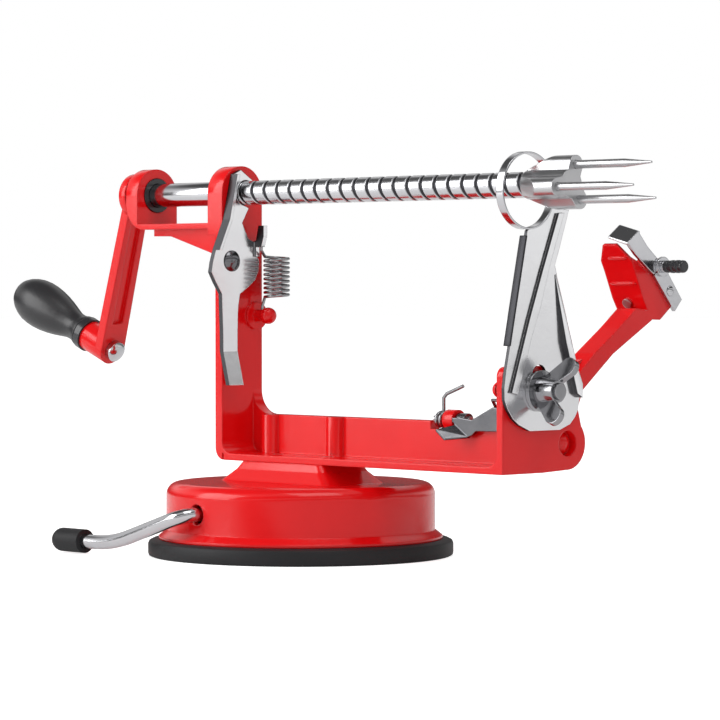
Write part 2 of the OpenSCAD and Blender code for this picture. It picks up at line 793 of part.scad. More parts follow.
// Children drawn along Z, standing along +X on the shaft's axis
module on_axis(x) translate([x, 0, shaft_h]) rotate([90, 0, 90]) children();

module at_lobes() for (k = [0:prong_count - 1]) rotate(prong_phase + 360 * k / prong_count)
    children();

module at_prongs(x) on_axis(x) at_lobes() translate([prong_ring_r, 0, 0]) children();

// A cone that opens into three lobes
module fork_hub() color("silver") difference() {
    intersection() {
        on_axis(fork_x) linear_extrude(fork_l) {
            circle(shaft_r + fork_wall);
            at_lobes() {
                translate([0, -lobe_r]) square([prong_ring_r, 2 * lobe_r]);
                translate([prong_ring_r, 0]) circle(lobe_r);
            }
        }
        on_axis(fork_x) {
            cylinder(h = fork_cone_l, r1 = shaft_r + fork_wall, r2 = fork_r + lap);
            translate([0, 0, fork_cone_l]) cylinder(h = fork_disc_t + overrun, r = fork_r + lap);
        }
    }
    bar_x(fork_x - overrun, 0, shaft_h, overrun + fork_cone_l + shaft_seat, shaft_r + seat_gap);
    at_prongs(fork_face - prong_seat) cylinder(h = prong_seat + overrun, r = prong_d / 2 + seat_gap);
}

module fork_prongs() color("silver") at_prongs(fork_face - prong_seat) {
    point = prong_l * prong_point_share;
    cylinder(h = prong_seat + prong_l - point, r = prong_d / 2);
    translate([0, 0, prong_seat + prong_l - point])
        cylinder(h = point, r1 = prong_d / 2, r2 = prong_tip_r);
}

// Crank and grip, in a frame of their own that leans about the shaft and splays outwards

module crank_frame() translate([crank_face, 0, shaft_h]) rotate([crank_lean, 0, 0])
    rotate([0, crank_splay, 0]) children();

module crank_arm() color("crimson") difference() {
    union() {
        bar_x(crank_back, 0, shaft_h, crank_hub_l, crank_hub_r);
        crank_frame() {
            along_x(-crank_t, crank_t) polygon([[-crank_top_w / 2, 0], [-crank_end_r, -crank_l],
                [crank_end_r, -crank_l], [crank_top_w / 2, 0]]);
            bar_x(-crank_t - grip_boss_l, 0, -crank_l, crank_t + grip_boss_l, crank_end_r);
        }
    }
    // The screw's seat and the shaft's bore
    bar_x(crank_back - crank_hub_r, 0, shaft_h, crank_hub_r, crank_screw_head_r + body_gap);
    bore_x(crank_back, 0, shaft_h, crank_hub_l, shaft_r + seat_gap);
    crank_frame() {
        translate([-groove_t, -groove_w / 2, -crank_l * groove_end_share])
            cube([groove_t + overrun, groove_w, crank_l * (groove_end_share - groove_start_share)]);
        bore_x(-crank_t - grip_boss_l, 0, -crank_l, crank_t + grip_boss_l, axle_r + seat_gap);
    }
}

module crank_screw() color("silver") {
    bar_x(crank_back - crank_screw_head_t, 0, shaft_h, crank_screw_head_t, crank_screw_head_r);
    bar_x(crank_back - lap, 0, shaft_h, crank_screw_l + lap, crank_screw_r);
}

module grip_axle() color("silver") crank_frame()
    bar_x(axle_end, 0, -crank_l, axle_nut_t - axle_end, axle_r);

module grip_nut() color("silver") crank_frame() difference() {
    union() {
        bar_x(0, 0, -crank_l, axle_nut_t, axle_nut_r);
        dome_x(axle_nut_t, 0, -crank_l, axle_nut_r, axle_nut_dome);
    }
    bar_x(-overrun, 0, -crank_l, overrun + axle_nut_t, axle_r + seat_gap);
}

module grip_collar() color("gray") crank_frame() difference() {
    bar_x(grip_start, 0, -crank_l, collar_t, collar_r);
    bore_x(grip_start, 0, -crank_l, collar_t, axle_r + seat_gap);
}

module grip() color("dimgray") crank_frame() difference() {
    translate([grip_face, 0, -crank_l]) rotate([0, -90, 0]) rotate_extrude()
        polygon(concat([[0, 0]], at_shares([for (s = grip_shares) [s[1], s[0]]], [0, 0],
            grip_d / 2, grip_l), [[0, grip_l]]));
    bar_x(axle_end - slide_gap, 0, -crank_l, grip_l, axle_r + running_gap);
}

// Feed lever

// The notch follows the shaft's path past the lever as it turns about its rivet
module notch() {
    away = norm(lever_pivot - [0, shaft_h]);
    start = atan2(shaft_h - lever_pivot[1], -lever_pivot[0]);
    translate(lever_pivot) {
        intersection() {
            difference() {
                circle(away + notch_r);
                circle(away - notch_r);
            }
            polygon(concat([[0, 0]], [for (a = [start, start / 2, 0]) 2 * away * [cos(a), sin(a)]]));
        }
        translate(away * [cos(start), sin(start)]) circle(notch_r);
    }
}

module release_lever() color("silver") {
    outline = at_shares(lever_shares, lever_pivot, lever_w, lever_drop);
    lip = at_shares(lip_shares, lever_pivot, lever_w, lever_drop);
    low = outline[0][1];
    difference() {
        along_x(lever_x, lever_t) difference() {
            polygon(outline);
            notch();
        }
        bore_x(lever_x, lever_pivot[0], lever_pivot[1], lever_t, rivet_r + running_gap);
    }
    along_x(lever_face - lap, lip_out + lap)
        polygon(concat(lip, [for (i = [len(lip) - 1:-1:0]) lip[i] + [lip_t, 0]]));
    // Thumb tab, bent outwards
    along_y(outline[0][0], outline[1][0] - outline[0][0]) polygon([
        [lever_x, low + lap], [lever_x, low], [lever_x + tab_out, low - lever_tab_l],
        [lever_face + tab_out, low - lever_tab_l], [lever_face, low], [lever_face, low + lap]]);
    // Ear for the spring, bent outwards
    along_y(hook_y - hook_t / 2, hook_t) polygon([
        [lever_x, spring_high], [lever_face + hook_neck, spring_high],
        [lever_face + hook_neck, hook_low], [lever_face + hook_foot, hook_low],
        [lever_face + hook_out, hook_low + hook_l / 2],
        [lever_face + hook_out, hook_low + hook_l],
        [lever_face + hook_out - hook_tip, hook_low + hook_l],
        [lever_face + hook_neck, hook_low + hook_l * hook_waist_share],
        [lever_x, hook_low + hook_t]]);
}

module lever_rivet() color("silver") {
    bar_x(post_left, lever_pivot[0], lever_pivot[1], lever_face + slide_gap + lap - post_left,
        rivet_r);
    dome_x(lever_face + slide_gap, lever_pivot[0], lever_pivot[1], rivet_head_r, rivet_head_t);
}

anchor_leg = [post_x + anchor_leg_out, anchor_y, anchor_leg_h];
hook_leg = [hook_leg_x, hook_y, hook_low - seat_gap];
spring_path = concat(
    [anchor_leg, anchor_leg + [0, 0, wire_end]],
    coil_z(spring_x, spring_y, spring_low, spring_r, spring_turns, spring_pitch, spring_phase),
    [hook_leg - [0, 0, wire_end], hook_leg]);

module release_spring() color("silver") wire(spring_path, wire_r, [1, 0, 0]);

// Coring blade

module blade_arm() color("silver") difference() {
    union() {
        along_x(arm_x, arm_t) polygon(at_shares(arm_shares, arm_place, arm_w, arm_up));
        along_x(arm_face - lap, bead_t + lap)
            polygon(at_shares(bead_shares, arm_place, arm_w, arm_up));
    }
    bore_x(arm_x, 0, ring_h, arm_t + bead_t, ring_r + seat_gap);
    along_x(arm_x - overrun, arm_t + bead_t + 2 * overrun) {
        for (z = [stud_h, stud_h + arm_travel]) translate([stud_y, z]) circle(slot_r);
        translate([stud_y - slot_r, stud_h]) square([2 * slot_r, arm_travel]);
    }
}

module coring_ring() color("silver") difference() {
    bar_x(ring_x, 0, ring_h, ring_l, ring_r);
    bore_x(ring_x, 0, ring_h, ring_l, ring_r - ring_t);
}

module arm_stud() color("silver") let (start = right_x - stud_boss_l + lap)
    bar_x(start, stud_y, stud_h, nut_x + nut_l + stud_free - start, stud_r);

module clamp_washer() color("silver") difference() {
    bar_x(washer_x, stud_y, stud_h, washer_t, washer_r);
    bore_x(washer_x, stud_y, stud_h, washer_t, stud_r + running_gap);
}

module wing_nut() color("silver") difference() {
    translate([nut_x, stud_y, stud_h]) {
        rotate([0, 90, 0]) cylinder(h = nut_l, r1 = nut_foot_r, r2 = nut_top_r);
        for (side = [0, 180]) rotate([wing_phase + side, 0, 0]) along_y(-wing_t / 2, wing_t) hull() {
            translate([wing_root_r, nut_top_r]) circle(wing_root_r, $fn = hull_fn);
            translate([wing_rise, wing_span - wing_tip_r]) circle(wing_tip_r, $fn = hull_fn);
        }
    }
    bore_x(nut_x, stud_y, stud_h, wing_rise + wing_tip_r, stud_r + running_gap);
}

// Peeling arm

function peel(shares) = at_shares(shares, pivot, peel_reach, peel_reach);
blade_screw_at = pivot + peel_reach * blade_screw_share;
guard_screw_at = pivot + peel_reach * guard_screw_share;
lock_edge = peel([head_shares[2], head_shares[3]]);
lock_screw_at = lock_edge[0] + (lock_edge[1] - lock_edge[0]) * lock_edge_share;
lock_run = lock_edge[1] - lock_edge[0];
lock_lean = atan2(-lock_run[1], lock_run[0]);
peel_leg_end = pivot + peel_reach * peel_leg_share;

module at_lock_screw() translate([bar_face - head_w * lock_back_share, lock_screw_at[0],
    lock_screw_at[1]]) rotate([180 - lock_lean, 0, 0]) children();

module peeler_arm() color("crimson") difference() {
    union() {
        bar_x(peel_hub_x, pivot_y, pivot_h, peel_hub_l, peel_hub_r);
        bar_x(sleeve_x, pivot_y, pivot_h, sleeve_l + lap, sleeve_r);
        along_x(peel_x - leg_t, leg_t) polygon(peel(leg_shares));
        along_x(bar_face - bar_t, bar_t) polygon(peel(bar_shares));
        intersection() {
            along_x(bar_face - head_w, head_w) polygon(peel(head_shares));
            along_y(pivot_y, peel_reach)
                polygon(at_shares(taper_shares, [bar_face, pivot_h], head_w, peel_reach));
        }
        bar_x(bar_face - bar_t, blade_screw_at[0], blade_screw_at[1], bar_t, head_boss_r);
    }
    bore_x(sleeve_x, pivot_y, pivot_h, sleeve_l + peel_hub_l, pin_r + running_gap);
    for (p = [blade_screw_at, guard_screw_at])
        bar_x(bar_face - small_seat, p[0], p[1], small_seat + overrun, small_screw_r + seat_gap);
    at_lock_screw() translate([0, 0, -lock_shank_l])
        cylinder(h = lock_shank_l + overrun, r = small_screw_r + seat_gap);
}

module lock_screw() color("silver") at_lock_screw() {
    translate([0, 0, seat_gap]) cylinder(h = lock_head_t, r = lock_head_r);
    translate([0, 0, -lock_shank_l]) cylinder(h = lock_shank_l + lap, r = small_screw_r);
}

module peeler_pin() color("silver") {
    bar_x(pin_clip_x, pivot_y, pivot_h, right_face - recess_t - pin_clip_x + lap, pin_r);
    dome_x(right_face - recess_t, pivot_y, pivot_h, pin_head_r, pin_head_t);
}

module pin_clip() color("silver") difference() {
    bar_x(pin_clip_x, pivot_y, pivot_h, pin_clip_t, pin_clip_r);
    bore_x(pin_clip_x, pivot_y, pivot_h, pin_clip_t, pin_r + seat_gap);
}

module peeler_blade() color("silver") difference() {
    union() {
        along_x(blade_x, blade_t) polygon(peel(blade_shares));
        bar_x(blade_x, blade_screw_at[0], blade_screw_at[1], blade_t, blade_lug_r);
        hull() for (p = peel(blade_lip_shares)) {
            bar_x(blade_x, p[0], p[1], blade_t, lap, $fn = hull_fn);
            bar_x(blade_x - blade_lip_l, p[0], p[1] + blade_lip_rise, lap, lap, $fn = hull_fn);
        }
    }
    bore_x(blade_x, blade_screw_at[0], blade_screw_at[1], blade_t, small_screw_r + seat_gap);
}

module blade_guard() color("silver") difference() {
    along_x(blade_x, blade_t) polygon(peel(guard_shares));
    bore_x(blade_x, blade_screw_at[0], blade_screw_at[1], blade_t, blade_lug_r + slide_gap);
    bore_x(blade_x, guard_screw_at[0], guard_screw_at[1], blade_t, small_screw_r + seat_gap);
}

module blade_screw() color("silver") {
    bar_x(bar_face - small_seat, blade_screw_at[0], blade_screw_at[1],
        knob_x + knob_l * knob_fill_share - bar_face + small_seat, small_screw_r);
    bar_x(blade_head_x, blade_screw_at[0], blade_screw_at[1], blade_head_t, blade_head_r);
}

module blade_washer() color("silver") difference() {
    bar_x(blade_face, blade_screw_at[0], blade_screw_at[1], blade_washer_t, blade_washer_r);
    bore_x(blade_face, blade_screw_at[0], blade_screw_at[1], blade_washer_t,
        small_screw_r + seat_gap);
}

module screw_sleeve() color("black") difference() {
    bar_x(knob_x, blade_screw_at[0], blade_screw_at[1], knob_l, knob_r);
    bore_x(knob_x, blade_screw_at[0], blade_screw_at[1], knob_l, small_screw_r + seat_gap);
}

module guard_screw() color("silver") {
    bar_x(bar_face - small_seat, guard_screw_at[0], guard_screw_at[1],
        blade_face + lap - bar_face + small_seat, small_screw_r);
    dome_x(blade_face, guard_screw_at[0], guard_screw_at[1], guard_head_r, guard_head_t);
}

peel_spring_path = concat(
    [[peel_spring_start + peel_hook_l, stud_y, peel_hook_h],
     [peel_spring_start + peel_wire_r, stud_y, peel_hook_h]],
    coil_x(peel_spring_start, pivot_y, pivot_h, peel_spring_r, peel_spring_turns,
        peel_spring_pitch, 180, 1),
    [[peel_x - leg_t - peel_wire_r - seat_gap, peel_leg_end[0], peel_leg_end[1]]]);

module peeler_spring() color("silver") wire(peel_spring_path, peel_wire_r, [0, 0, 1]);

// Latch

module latch_lever() color("gray") difference() {
    union() {
        along_y(latch_plate_y, latch_t) polygon(at_shares(latch_shares, latch_place, latch_l, web_h));
        bar_x(latch_x, latch_y, latch_h, latch_curl_l, latch_curl_r);
        translate([latch_x, latch_plate_y, latch_h - latch_t / 2])
            cube([latch_curl_l, latch_y - latch_plate_y, latch_t]);
        hull() {
            for (p = at_shares(tab_root_shares, latch_place, latch_l, web_h))
                bar_y(p[0], latch_plate_y, p[1], latch_t, lap, $fn = hull_fn);
            for (p = at_shares(tab_tip_shares, latch_place, latch_l, web_h))
                bar_y(p[0], latch_plate_y - tab_lean, p[1], latch_t, lap, $fn = hull_fn);
        }
    }
    bore_x(latch_x, latch_y, latch_h, latch_curl_l, latch_pin_r + running_gap);
}

module latch_pin() color("silver")
    bar_x(latch_pin_start, latch_y, latch_h, latch_pin_end - latch_pin_start, latch_pin_r);

latch_spring_path = concat(
    [[latch_spring_start + latch_arm_l, latch_leg_y, latch_leg_top + latch_arm_rise],
     [latch_spring_start + latch_bend, latch_leg_y, latch_leg_top],
     [latch_spring_start, latch_leg_y, latch_leg_top - latch_bend]],
    coil_x(latch_spring_start, latch_y, latch_h, latch_spring_r, latch_spring_turns,
        latch_spring_pitch, 0, -1));

module latch_spring() color("silver") wire(latch_spring_path, latch_wire_r, [1, 0, 0]);

echo(release_spring_gap = least_gap(spring_path, wire_r));
echo(peeler_spring_gap = least_gap(peel_spring_path, peel_wire_r));
echo(latch_spring_gap = least_gap(latch_spring_path, latch_wire_r));

frame();
base_housing();
base_screws();
suction_pad();
pad_stem();
suction_lever();
lever_cap();
cam_clip();
shaft_bush();
feed_shaft();
fork_hub();
fork_prongs();
crank_arm();
crank_screw();
grip_axle();
grip_nut();
grip_collar();
grip();
release_lever();
lever_rivet();
release_spring();
blade_arm();
coring_ring();
arm_stud();
clamp_washer();
wing_nut();
peeler_arm();
peeler_pin();
pin_clip();
peeler_spring();
peeler_blade();
blade_guard();
blade_screw();
blade_washer();
screw_sleeve();
guard_screw();
lock_screw();
latch_lever();
latch_pin();
latch_spring();
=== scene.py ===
import math

import bmesh
import bpy
from mathutils import Matrix, Vector


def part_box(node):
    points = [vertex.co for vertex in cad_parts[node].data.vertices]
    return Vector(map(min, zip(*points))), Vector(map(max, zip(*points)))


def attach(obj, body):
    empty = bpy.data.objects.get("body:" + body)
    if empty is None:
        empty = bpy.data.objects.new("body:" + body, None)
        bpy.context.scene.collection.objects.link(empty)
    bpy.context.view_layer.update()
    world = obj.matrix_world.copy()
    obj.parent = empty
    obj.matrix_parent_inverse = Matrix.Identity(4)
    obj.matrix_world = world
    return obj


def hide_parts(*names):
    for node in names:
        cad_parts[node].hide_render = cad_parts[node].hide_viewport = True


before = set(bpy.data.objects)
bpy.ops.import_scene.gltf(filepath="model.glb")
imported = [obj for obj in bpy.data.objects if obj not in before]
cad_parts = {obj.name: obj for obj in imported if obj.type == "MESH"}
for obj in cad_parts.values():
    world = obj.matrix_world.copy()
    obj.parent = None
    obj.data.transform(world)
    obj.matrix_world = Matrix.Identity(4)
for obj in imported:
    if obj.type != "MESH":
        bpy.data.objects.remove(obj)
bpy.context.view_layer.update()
MM = 0.001

# Studio
# A pale floor that runs off to white, a large softbox in front on the left, and a weaker
# one above. The camera stands where the photograph was taken from.
camera_data = bpy.data.cameras.new("camera")
camera_data.sensor_width = 36
camera_data.lens = 166.78
camera_data.clip_end = 20
camera = bpy.data.objects.new("camera", camera_data)
camera.location = (0.79187, -0.75119, 0.08798)
camera.rotation_euler = (math.radians(90 - 1.274), 0, math.radians(45.493))
bpy.context.scene.collection.objects.link(camera)
bpy.context.scene.camera = camera
bpy.context.scene.view_settings.view_transform = "Standard"


def softbox(name, place, target, size, power):
    """A square area lamp that faces the target."""
    lamp = bpy.data.lights.new(name, "AREA")
    lamp.size = size
    lamp.energy = power
    lamp_object = bpy.data.objects.new(name, lamp)
    turned = (Vector(target) - Vector(place)).to_track_quat("-Z", "Y")
    lamp_object.matrix_world = Matrix.Translation(place) @ turned.to_matrix().to_4x4()
    bpy.context.scene.collection.objects.link(lamp_object)


middle = (0.02, 0, 0.07)
softbox("key_lamp", (-0.7, -1.1, 0.6), middle, 1, 13)
softbox("top_lamp", (0.5, -0.2, 1.2), middle, 0.7, 4)


class Mask:
    """A socket with arithmetic: each sum or product with a number or a mask is a new node."""

    def __init__(self, finish, socket):
        self.finish = finish
        self.socket = socket

    def combine(self, operation, first, second):
        return self.finish.make("ShaderNodeMath", {"operation": operation}, {0: first, 1: second})

    def __add__(self, other):
        return self.combine("ADD", self, other)

    def __sub__(self, other):
        return self.combine("SUBTRACT", self, other)

    def __mul__(self, other):
        return self.combine("MULTIPLY", self, other)

    __radd__ = __add__
    __rmul__ = __mul__


class Finish:
    """The nodes of a material or of the world. What make returns is the new node's result."""

    def __init__(self, owner, shader="ShaderNodeBsdfPrincipled"):
        self.owner = owner
        owner.use_nodes = True
        self.tree = owner.node_tree
        self.tree.nodes.clear()
        self.shader = self.tree.nodes.new(shader)

    def make(self, kind, settings, sockets, result=0):
        """A new node with its settings and sockets filled in. A ramp's stops are greys."""
        node = self.tree.nodes.new(kind)
        for name, value in settings.items():
            if name == "stops":
                for place, _ in value[1:-1]:
                    node.color_ramp.elements.new(place)
                for stop, (place, grey) in zip(node.color_ramp.elements, value):
                    stop.position = place
                    stop.color = (grey, grey, grey, 1)
            else:
                setattr(node, name, value)
        for name, value in sockets.items():
            self.put(node, name, value)
        return Mask(self, node.outputs[result])

    def put(self, node, name, value):
        """Links a mask to a node's socket, or sets the socket's constant."""
        if isinstance(value, Mask):
            self.tree.links.new(value.socket, node.inputs[name])
        else:
            node.inputs[name].default_value = value

    def read(self, name):
        """What the shader's socket is linked to."""
        return Mask(self, self.shader.inputs[name].links[0].from_socket)

    def finish(self, kind):
        """Links the shader to the output node."""
        output = self.tree.nodes.new(kind)
        self.tree.links.new(self.shader.outputs[0], output.inputs["Surface"])


# Behind the object the camera sees plain white. Polished metal sees a bright room with
# dark bands that come down on the left, which give it its dark streaks.
world = bpy.data.worlds.new("studio")
bpy.context.scene.world = world
sky = Finish(world, "ShaderNodeBackground")
direction = sky.make("ShaderNodeTexCoord", {}, {}, "Generated")
height = sky.make("ShaderNodeSeparateXYZ", {}, {0: direction}, "Z")
along = sky.make("ShaderNodeSeparateXYZ", {}, {0: direction}, "X")
bands = [(0, 0.9), (0.42, 0.95), (0.47, 0.2), (0.52, 0.16), (0.56, 0.9), (0.62, 0.85), (0.67, 0.08),
         (0.77, 0.06), (0.85, 0.8), (0.93, 0.7), (1, 0.1)]
ceiling = sky.make("ShaderNodeValToRGB", {"stops": bands}, {0: height * 0.5 - along * 0.22 + 0.5})
seen = sky.make("ShaderNodeLightPath", {}, {}, "Is Camera Ray")
mirrored = sky.make("ShaderNodeLightPath", {}, {}, "Is Glossy Ray")
unseen = sky.make("ShaderNodeMix", {"data_type": "RGBA"},
                  {0: mirrored, "A": (0.5, 0.5, 0.5, 1), "B": ceiling}, 2)
light = sky.make("ShaderNodeMix", {"data_type": "RGBA"}, {0: seen, "A": unseen, "B": (1, 1, 1, 1)}, 2)
sky.put(sky.shader, "Color", light)
sky.put(sky.shader, "Strength", 1)
sky.finish("ShaderNodeOutputWorld")

floor_mesh = bpy.data.meshes.new("floor")
shape = bmesh.new()
bmesh.ops.create_grid(shape, x_segments=1, y_segments=1, size=6)
shape.to_mesh(floor_mesh)
shape.free()
floor = bpy.data.objects.new("floor", floor_mesh)
bpy.context.scene.collection.objects.link(floor)
paper = Finish(bpy.data.materials.new("paper"))
paper_seen = paper.make("ShaderNodeLightPath", {}, {}, "Is Camera Ray")
paper_mirrored = paper.make("ShaderNodeLightPath", {}, {}, "Is Glossy Ray")
paper.put(paper.shader, "Base Color", (0.84, 0.84, 0.84, 1))
paper.put(paper.shader, "Roughness", 0.9)
paper.put(paper.shader, "Emission Color", paper_seen * 0.75 + paper_mirrored * 0.15)
paper.put(paper.shader, "Emission Strength", 1)
paper.finish("ShaderNodeOutputMaterial")
floor_mesh.materials.append(paper.owner)

# Painted castings
# The frame, the housing, the crank arm and the peeling arm are zinc castings under a thick
# glossy red paint, which is slightly uneven. The peeling arm's pin is painted with them.
TOUCHING = 0.001 * MM


def coating(name, colour, stain, metal, roughness, spread, grain, depth, edge, coat=0, gloss=0.5):
    """A finish that wanders a little over the piece: its colour towards a stain, its roughness
    by the spread, and its height by the depth, in marks whose size the grain sets."""
    made = Finish(bpy.data.materials.new(name))
    place = made.make("ShaderNodeTexCoord", {}, {}, "Object")
    cloud = made.make("ShaderNodeTexNoise", {}, {"Vector": place, "Scale": 60.0, "Detail": 3.0})
    fine = made.make("ShaderNodeTexNoise", {}, {"Vector": place, "Scale": grain, "Detail": 4.0})
    tint = made.make("ShaderNodeMix", {"data_type": "RGBA"},
                     {0: cloud, "A": (*colour, 1), "B": (*stain, 1)}, 2)
    rounded = made.make("ShaderNodeBevel", {"samples": 8}, {"Radius": edge})
    relief = made.make("ShaderNodeBump", {}, {"Strength": 0.5, "Distance": depth, "Height": fine,
                                              "Normal": rounded})
    made.put(made.shader, "Base Color", tint)
    made.put(made.shader, "Metallic", metal)
    made.put(made.shader, "Roughness", roughness + spread * (cloud - 0.5))
    made.put(made.shader, "Normal", relief)
    made.put(made.shader, "Coat Weight", coat)
    made.put(made.shader, "Coat Roughness", 0.06)
    made.put(made.shader, "Specular IOR Level", gloss)
    made.finish("ShaderNodeOutputMaterial")
    return made


def dress(finish, *names):
    """Gives CAD nodes a finish."""
    for name in names:
        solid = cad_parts[name]
        solid.data.materials.clear()
        solid.data.materials.append(finish.owner)


red_paint = coating("red_paint", colour=(0.86, 0.005, 0.007), stain=(0.74, 0.003, 0.005), metal=0,
    roughness=0.22, spread=0.08, grain=420, depth=0.12 * MM, edge=0.8 * MM, coat=0.3, gloss=0.25)
dress(red_paint, "frame", "base_housing", "crank_arm", "peeler_arm", "peeler_pin")


def round_off(name, radius):
    """Rounds the sharp edges of a casting, on its own mesh with its loose corners joined."""
    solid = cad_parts[name]
    joined = solid.modifiers.new("joined", "WELD")
    joined.merge_threshold = TOUCHING
    rounded = solid.modifiers.new("rounded", "BEVEL")
    rounded.width = radius
    rounded.segments = 3
    rounded.limit_method = "ANGLE"
    rounded.angle_limit = math.radians(35)


round_off("peeler_arm", 0.8 * MM)
round_off("crank_arm", 0.8 * MM)
round_off("frame", 0.6 * MM)
round_off("base_housing", 0.5 * MM)

# Plated steel
# The blades, the fork, the levers and the screws are steel, stamped or turned, under bright
# chrome or plain zinc. Faint wandering marks break the shine. A stamped sheet is rougher
# along its edges, and they are painted near black as painted shade.
chrome = coating("chrome", colour=(0.66, 0.66, 0.68), stain=(0.5, 0.5, 0.52), metal=1,
    roughness=0.13, spread=0.08, grain=240, depth=0.06 * MM, edge=0.4 * MM)
dress(chrome, "coring_ring", "peeler_blade", "blade_guard", "blade_washer", "blade_screw",
      "guard_screw", "grip_nut")
cast_chrome = coating("cast_chrome", colour=(0.46, 0.46, 0.48), stain=(0.24, 0.24, 0.25), metal=1,
    roughness=0.12, spread=0.1, grain=240, depth=0.08 * MM, edge=0.4 * MM)
dress(cast_chrome, "wing_nut", "arm_stud", "clamp_washer")
steel = coating("steel", colour=(0.6, 0.6, 0.61), stain=(0.46, 0.46, 0.47), metal=1,
    roughness=0.3, spread=0.14, grain=500, depth=0.08 * MM, edge=0.3 * MM)
dress(steel, "fork_hub", "fork_prongs", "base_screws", "pad_stem", "cam_clip", "crank_screw",
      "grip_axle", "pin_clip", "lock_screw", "latch_pin")
dark_chrome = coating("dark_chrome", colour=(0.24, 0.24, 0.25), stain=(0.12, 0.12, 0.13), metal=1,
    roughness=0.16, spread=0.1, grain=260, depth=0.08 * MM, edge=0.4 * MM)
dress(dark_chrome, "latch_lever", "lever_rivet")


def with_painted_shade(made, mask, colour, roughness):
    """Gives the places that a mask picks another colour, a painted shade, and more roughness."""
    made.put(made.shader, "Base Color", made.make(
        "ShaderNodeMix", {"data_type": "RGBA"},
        {0: mask(made), "A": made.read("Base Color"), "B": (*colour, 1)}, 2))
    made.put(made.shader, "Roughness", made.read("Roughness") + mask(made) * roughness)
    return made


def edge_painted_shade(made):
    """1 on the edges of a sheet that lies across the shaft, where shade is painted, 0 on its two faces.
    """
    across = made.make("ShaderNodeTexCoord", {}, {}, "Normal")
    facing = made.make("ShaderNodeSeparateXYZ", {}, {0: across}, "X")
    flat = made.make("ShaderNodeMath", {"operation": "ABSOLUTE"}, {0: facing})
    return made.make("ShaderNodeMapRange", {"interpolation_type": "SMOOTHSTEP"},
                     {"Value": flat, "From Min": 0.9, "From Max": 0.5})


# The stamped sheet's edges and rib walls are painted near black: painted shade, with more roughness.
pressed_sheet = with_painted_shade(coating("pressed_sheet", colour=(0.9, 0.9, 0.91), stain=(0.8, 0.8, 0.82), metal=1,
    roughness=0.18, spread=0.1, grain=240, depth=0.06 * MM, edge=0.3 * MM),
    edge_painted_shade, colour=(0.07, 0.07, 0.075), roughness=0.25)
dress(pressed_sheet, "release_lever", "blade_arm")

# Coring blade
# A pressed steel arm with a raised rib, clamped by a wing nut. Its front edge is turned
# back above the frame's ear and its back edge is turned forward, which stiffens it.
ARM_FACE = 100.2 * MM
FLANGE_DEEP = 2.8 * MM
LIP_HIGH = 1.8 * MM
BLADE_TOP = 130


def add_piece(name, shape, finish, body, slot, *stands_for, smooth=40):
    """Makes an object of a shape, in a finish, that rides on its body. It may stand for CAD nodes."""
    mesh = bpy.data.meshes.new(name)
    shape.to_mesh(mesh)
    shape.free()
    piece = bpy.data.objects.new(name, mesh)
    bpy.context.scene.collection.objects.link(piece)
    mesh.materials.append(finish.owner)
    mesh.shade_smooth()
    mesh.set_sharp_from_angle(angle=math.radians(smooth))
    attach(piece, body)
    if stands_for:
        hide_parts(*stands_for)


def outline(shape, points):
    """A chain of edges through the points."""
    corners = [shape.verts.new(p) for p in points]
    return [shape.edges.new(pair) for pair in zip(corners, corners[1:])]


def round_edges(shape, radius):
    """Rounds every edge of a shape that is sharper than 1 radian."""
    sharp = [e for e in shape.edges if e.calc_face_angle(0) > 1]
    bmesh.ops.bevel(shape, geom=sharp, offset=radius, segments=2, profile=0.5, affect="EDGES",
                    material=-1)


def pressed(name, corners, x_low, x_high, finish, slot, runs_out=BLADE_TOP):
    """A fold of the sheet: its outline across the shaft in millimetres, drawn out along the
    shaft. Above the height where it runs out, it stands only a quarter as far."""
    fold = bmesh.new()
    side = fold.faces.new([fold.verts.new((x_low, y * MM, z * MM)) for y, z in corners])
    drawn = bmesh.ops.extrude_face_region(fold, geom=[side])["geom"]
    bmesh.ops.translate(fold, verts=[v for v in drawn if isinstance(v, bmesh.types.BMVert)],
                        vec=(x_high - x_low, 0, 0))
    for corner in fold.verts:
        if corner.co.z > runs_out * MM:
            corner.co.x = x_low + 0.25 * (corner.co.x - x_low)
    bmesh.ops.recalc_face_normals(fold, faces=fold.faces[:])
    round_edges(fold, 0.2 * MM)
    add_piece(name, fold, finish, "coring_blade", slot)


# The turned-back front edge is coloured near black: a painted dark reflection and shade along that edge
# of the arm.
painted_shade_steel = coating("painted_shade_steel", colour=(0.06, 0.06, 0.065), stain=(0.035, 0.035, 0.04), metal=1,
    roughness=0.42, spread=0.1, grain=500, depth=0.08 * MM, edge=0.3 * MM)
pressed("arm_flange", [(-7.5, 69.6), (-7.1, 71.5), (-0.1, 103.4), (0.6, 103.4), (-6.4, 71.5),
                       (-6.8, 69.6)], ARM_FACE - FLANGE_DEEP, ARM_FACE, painted_shade_steel, "dark_chrome")
pressed("arm_lip", [(13.7, 91.6), (18.9, 71.2), (21.7, 62.6), (24.1, 57.6), (24.1, 53.2), (21.6, 54.6),
                    (19.6, 61), (16.4, 70.6), (12.9, 91.4)],
        ARM_FACE - LIP_HIGH / 4, ARM_FACE + LIP_HIGH, pressed_sheet, "chrome", runs_out=90)

# Feed shaft
# A chromed steel bar in one piece, with a plain end towards the crank. A helical groove is rolled
# into it from the left post to the fork, and the feed lever's notch runs in that groove.
SHAFT_H = 118.8 * MM
SHAFT_R = 4 * MM
LEAD = 6 * MM
GROOVE_START = -26 * MM
TURN_STEPS = 40
SAME_POINT = 0.01 * MM
shaft_low, shaft_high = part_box("feed_shaft")


def close_ends(shape):
    """Fills the open rims and turns all faces outwards."""
    bmesh.ops.holes_fill(shape, edges=[e for e in shape.edges if e.is_boundary], sides=0)
    bmesh.ops.recalc_face_normals(shape, faces=shape.faces[:])


def cut_away(shape, x, side):
    """Cuts the shape across the shaft at x and drops what lies on that side."""
    bmesh.ops.bisect_plane(shape, geom=shape.verts[:] + shape.edges[:] + shape.faces[:],
                           plane_co=(x, 0, 0), plane_no=(side, 0, 0), clear_outer=True)


